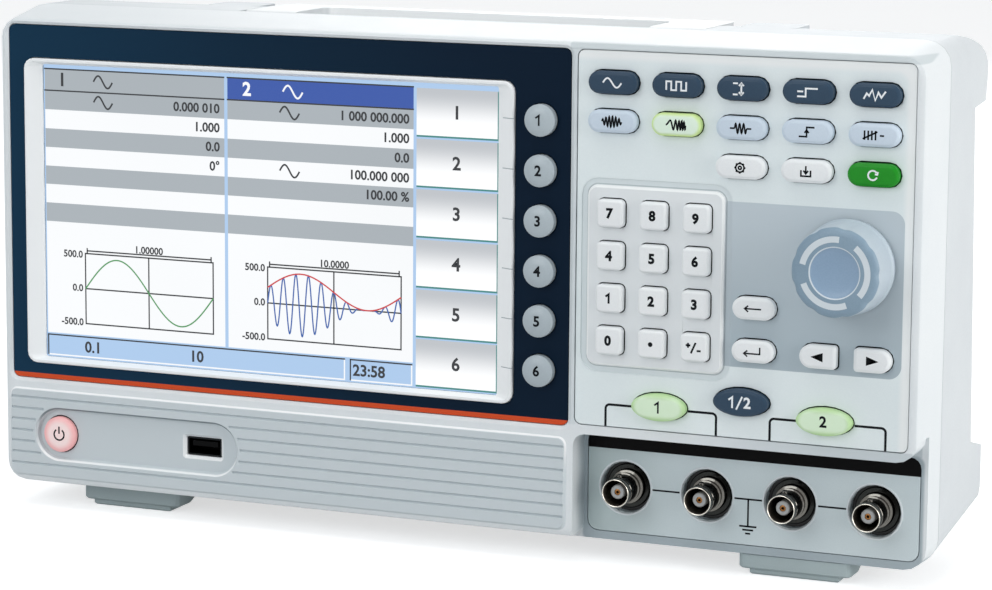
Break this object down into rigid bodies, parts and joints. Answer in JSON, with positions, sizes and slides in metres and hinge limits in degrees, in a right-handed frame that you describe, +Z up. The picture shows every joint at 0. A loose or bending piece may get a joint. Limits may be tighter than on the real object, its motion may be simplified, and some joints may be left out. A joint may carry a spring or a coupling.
{
  "type": "bench function generator",
  "caption": "Upright bench signal source with a wide screen, soft keys, keypad, rotary knob, front coaxial outputs and a folding top handle.",
  "frame": {"origin": "on the table, under the middle of the overall box", "axes": "+X to the right seen from the front, +Y to the back, +Z up; the front faces -Y"},
  "size_m": [0.34, 0.099, 0.1791],
  "materials": {
    "shell_white": "fine satin moulding",
    "rear_grey": "fine textured moulding",
    "navy_panel": "dark satin sheet with an orange foot line",
    "control_panel_grey": "printed matt sheet",
    "output_panel_grey": "printed matt sheet",
    "screen_glass": "lit display under an anti-glare film",
    "board_green": "solder mask",
    "nickel": "nickel plate",
    "socket_steel": "plain plated steel",
    "black_plastic": "satin moulding",
    "foot_grey": "matt rubber",
    "handle_white": "satin moulding",
    "key_dark": "satin key cap",
    "key_pale_blue": "translucent key cap, unlit",
    "key_white": "translucent key cap, unlit",
    "key_green": "satin key cap",
    "key_lit_green": "translucent key cap, lit",
    "key_soft_grey": "satin key cap",
    "power_pink": "translucent key cap, lit",
    "knob_blue_grey": "satin moulding with a scalloped edge"
  },
  "bodies": {
    "case": {"front_housing": "shell_white", "rear_housing": "rear_grey", "display_panel": "navy_panel", "screen_module": "screen_glass", "control_panel": "control_panel_grey", "output_panel": "output_panel_grey", "key_board": "board_green", "rotary_encoder": "socket_steel", "main_board": "board_green", "power_inlet": "black_plastic", "foot_left": "foot_grey", "foot_right": "foot_grey", "output_socket_1": "nickel", "output_socket_2": "nickel", "output_socket_3": "nickel", "output_socket_4": "nickel", "usb_socket": "socket_steel", "counter_input_socket": "nickel"},
    "knob": {"knob": "knob_blue_grey", "encoder_shaft": "socket_steel"},
    "carry_handle": {"carry_handle": "handle_white"},
    "key_f1": {"key_f1": "key_soft_grey"},
    "key_f2": {"key_f2": "key_soft_grey"},
    "key_f3": {"key_f3": "key_soft_grey"},
    "key_f4": {"key_f4": "key_soft_grey"},
    "key_f5": {"key_f5": "key_soft_grey"},
    "key_f6": {"key_f6": "key_soft_grey"},
    "key_waveform": {"key_waveform": "key_dark"},
    "key_frequency": {"key_frequency": "key_dark"},
    "key_amplitude": {"key_amplitude": "key_dark"},
    "key_offset": {"key_offset": "key_dark"},
    "key_arb": {"key_arb": "key_dark"},
    "key_modulation": {"key_modulation": "key_pale_blue"},
    "key_sweep": {"key_sweep": "key_lit_green"},
    "key_burst": {"key_burst": "key_pale_blue"},
    "key_trigger": {"key_trigger": "key_pale_blue"},
    "key_counter": {"key_counter": "key_pale_blue"},
    "key_utility": {"key_utility": "key_white"},
    "key_recall": {"key_recall": "key_white"},
    "key_preset": {"key_preset": "key_green"},
    "key_0": {"key_0": "key_white"},
    "key_1": {"key_1": "key_white"},
    "key_2": {"key_2": "key_white"},
    "key_3": {"key_3": "key_white"},
    "key_4": {"key_4": "key_white"},
    "key_5": {"key_5": "key_white"},
    "key_6": {"key_6": "key_white"},
    "key_7": {"key_7": "key_white"},
    "key_8": {"key_8": "key_white"},
    "key_9": {"key_9": "key_white"},
    "key_point": {"key_point": "key_white"},
    "key_sign": {"key_sign": "key_white"},
    "key_backspace": {"key_backspace": "key_white"},
    "key_enter": {"key_enter": "key_white"},
    "key_arrow_left": {"key_arrow_left": "key_white"},
    "key_arrow_right": {"key_arrow_right": "key_white"},
    "key_output_1": {"key_output_1": "key_lit_green"},
    "key_channel": {"key_channel": "key_dark"},
    "key_output_2": {"key_output_2": "key_lit_green"},
    "power_button": {"power_button": "power_pink"}
  },
  "joints": [
    {"name": "knob_turn", "type": "hinge", "parent": "case", "child": "knob", "pos_m": [0.14395, -0.0415, 0.1075], "axis": [0, 1, 0], "continuous": true},
    {"name": "handle_swing", "type": "hinge", "parent": "case", "child": "carry_handle", "pos_m": [0, -0.005, 0.1741], "axis": [1, 0, 0], "range_deg": [0, 90]},
    {"name": "key_f1_press", "type": "slide", "parent": "case", "child": "key_f1", "axis": [0, 1, 0], "range_m": [0, 0.001], "stiffness_N_per_m": 600},
    {"name": "key_f2_press", "type": "slide", "parent": "case", "child": "key_f2", "axis": [0, 1, 0], "range_m": [0, 0.001], "stiffness_N_per_m": 600},
    {"name": "key_f3_press", "type": "slide", "parent": "case", "child": "key_f3", "axis": [0, 1, 0], "range_m": [0, 0.001], "stiffness_N_per_m": 600},
    {"name": "key_f4_press", "type": "slide", "parent": "case", "child": "key_f4", "axis": [0, 1, 0], "range_m": [0, 0.001], "stiffness_N_per_m": 600},
    {"name": "key_f5_press", "type": "slide", "parent": "case", "child": "key_f5", "axis": [0, 1, 0], "range_m": [0, 0.001], "stiffness_N_per_m": 600},
    {"name": "key_f6_press", "type": "slide", "parent": "case", "child": "key_f6", "axis": [0, 1, 0], "range_m": [0, 0.001], "stiffness_N_per_m": 600},
    {"name": "key_waveform_press", "type": "slide", "parent": "case", "child": "key_waveform", "axis": [0, 1, 0], "range_m": [0, 0.001], "stiffness_N_per_m": 600},
    {"name": "key_frequency_press", "type": "slide", "parent": "case", "child": "key_frequency", "axis": [0, 1, 0], "range_m": [0, 0.001], "stiffness_N_per_m": 600},
    {"name": "key_amplitude_press", "type": "slide", "parent": "case", "child": "key_amplitude", "axis": [0, 1, 0], "range_m": [0, 0.001], "stiffness_N_per_m": 600},
    {"name": "key_offset_press", "type": "slide", "parent": "case", "child": "key_offset", "axis": [0, 1, 0], "range_m": [0, 0.001], "stiffness_N_per_m": 600},
    {"name": "key_arb_press", "type": "slide", "parent": "case", "child": "key_arb", "axis": [0, 1, 0], "range_m": [0, 0.001], "stiffness_N_per_m": 600},
    {"name": "key_modulation_press", "type": "slide", "parent": "case", "child": "key_modulation", "axis": [0, 1, 0], "range_m": [0, 0.001], "stiffness_N_per_m": 600},
    {"name": "key_sweep_press", "type": "slide", "parent": "case", "child": "key_sweep", "axis": [0, 1, 0], "range_m": [0, 0.001], "stiffness_N_per_m": 600},
    {"name": "key_burst_press", "type": "slide", "parent": "case", "child": "key_burst", "axis": [0, 1, 0], "range_m": [0, 0.001], "stiffness_N_per_m": 600},
    {"name": "key_trigger_press", "type": "slide", "parent": "case", "child": "key_trigger", "axis": [0, 1, 0], "range_m": [0, 0.001], "stiffness_N_per_m": 600},
    {"name": "key_counter_press", "type": "slide", "parent": "case", "child": "key_counter", "axis": [0, 1, 0], "range_m": [0, 0.001], "stiffness_N_per_m": 600},
    {"name": "key_utility_press", "type": "slide", "parent": "case", "child": "key_utility", "axis": [0, 1, 0], "range_m": [0, 0.001], "stiffness_N_per_m": 600},
    {"name": "key_recall_press", "type": "slide", "parent": "case", "child": "key_recall", "axis": [0, 1, 0], "range_m": [0, 0.001], "stiffness_N_per_m": 600},
    {"name": "key_preset_press", "type": "slide", "parent": "case", "child": "key_preset", "axis": [0, 1, 0], "range_m": [0, 0.001], "stiffness_N_per_m": 600},
    {"name": "key_0_press", "type": "slide", "parent": "case", "child": "key_0", "axis": [0, 1, 0], "range_m": [0, 0.001], "stiffness_N_per_m": 600},
    {"name": "key_1_press", "type": "slide", "parent": "case", "child": "key_1", "axis": [0, 1, 0], "range_m": [0, 0.001], "stiffness_N_per_m": 600},
    {"name": "key_2_press", "type": "slide", "parent": "case", "child": "key_2", "axis": [0, 1, 0], "range_m": [0, 0.001], "stiffness_N_per_m": 600},
    {"name": "key_3_press", "type": "slide", "parent": "case", "child": "key_3", "axis": [0, 1, 0], "range_m": [0, 0.001], "stiffness_N_per_m": 600},
    {"name": "key_4_press", "type": "slide", "parent": "case", "child": "key_4", "axis": [0, 1, 0], "range_m": [0, 0.001], "stiffness_N_per_m": 600},
    {"name": "key_5_press", "type": "slide", "parent": "case", "child": "key_5", "axis": [0, 1, 0], "range_m": [0, 0.001], "stiffness_N_per_m": 600},
    {"name": "key_6_press", "type": "slide", "parent": "case", "child": "key_6", "axis": [0, 1, 0], "range_m": [0, 0.001], "stiffness_N_per_m": 600},
    {"name": "key_7_press", "type": "slide", "parent": "case", "child": "key_7", "axis": [0, 1, 0], "range_m": [0, 0.001], "stiffness_N_per_m": 600},
    {"name": "key_8_press", "type": "slide", "parent": "case", "child": "key_8", "axis": [0, 1, 0], "range_m": [0, 0.001], "stiffness_N_per_m": 600},
    {"name": "key_9_press", "type": "slide", "parent": "case", "child": "key_9", "axis": [0, 1, 0], "range_m": [0, 0.001], "stiffness_N_per_m": 600},
    {"name": "key_point_press", "type": "slide", "parent": "case", "child": "key_point", "axis": [0, 1, 0], "range_m": [0, 0.001], "stiffness_N_per_m": 600},
    {"name": "key_sign_press", "type": "slide", "parent": "case", "child": "key_sign", "axis": [0, 1, 0], "range_m": [0, 0.001], "stiffness_N_per_m": 600},
    {"name": "key_backspace_press", "type": "slide", "parent": "case", "child": "key_backspace", "axis": [0, 1, 0], "range_m": [0, 0.001], "stiffness_N_per_m": 600},
    {"name": "key_enter_press", "type": "slide", "parent": "case", "child": "key_enter", "axis": [0, 1, 0], "range_m": [0, 0.001], "stiffness_N_per_m": 600},
    {"name": "key_arrow_left_press", "type": "slide", "parent": "case", "child": "key_arrow_left", "axis": [0, 1, 0], "range_m": [0, 0.001], "stiffness_N_per_m": 600},
    {"name": "key_arrow_right_press", "type": "slide", "parent": "case", "child": "key_arrow_right", "axis": [0, 1, 0], "range_m": [0, 0.001], "stiffness_N_per_m": 600},
    {"name": "key_output_1_press", "type": "slide", "parent": "case", "child": "key_output_1", "axis": [0, 1, 0], "range_m": [0, 0.001], "stiffness_N_per_m": 600},
    {"name": "key_channel_press", "type": "slide", "parent": "case", "child": "key_channel", "axis": [0, 1, 0], "range_m": [0, 0.001], "stiffness_N_per_m": 600},
    {"name": "key_output_2_press", "type": "slide", "parent": "case", "child": "key_output_2", "axis": [0, 1, 0], "range_m": [0, 0.001], "stiffness_N_per_m": 600},
    {"name": "power_button_press", "type": "slide", "parent": "case", "child": "power_button", "axis": [0, 1, 0], "range_m": [0, 0.001], "stiffness_N_per_m": 600}
  ]
}
